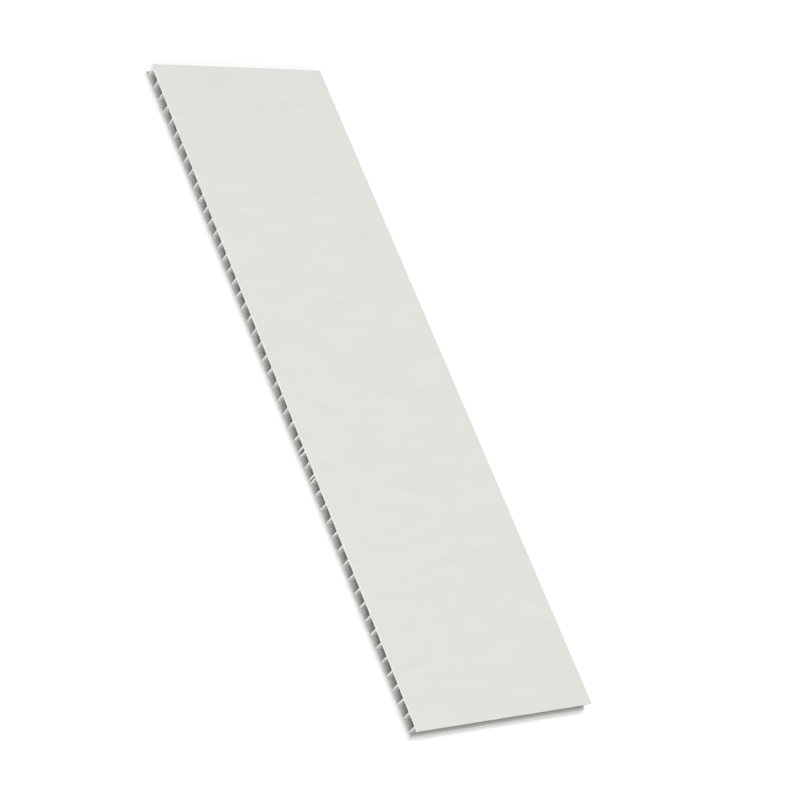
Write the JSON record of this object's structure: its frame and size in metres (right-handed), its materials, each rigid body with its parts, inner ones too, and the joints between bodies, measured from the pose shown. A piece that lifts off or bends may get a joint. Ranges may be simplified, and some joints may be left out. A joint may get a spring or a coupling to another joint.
{
  "type": "hollow plastic wall panel",
  "caption": "Flat hollow wall panel, a thin matte off-white extrusion with rows of square cells between two skins, open at the cut ends, with a shallow groove along each side edge.",
  "frame": {"origin": "middle of the back skin's underside, where the panel rests on the floor", "axes": "+X across the cells, from one grooved edge to the other; +Y along the cells, from saw cut to saw cut; +Z from the back skin to the front skin"},
  "size_m": [0.4, 0.112, 0.0075],
  "materials": {
    "panel_plastic": "matte warm off-white, with a faint fine grain"
  },
  "bodies": {
    "root": {"wall_panel": "panel_plastic"}
  },
  "joints": []
}
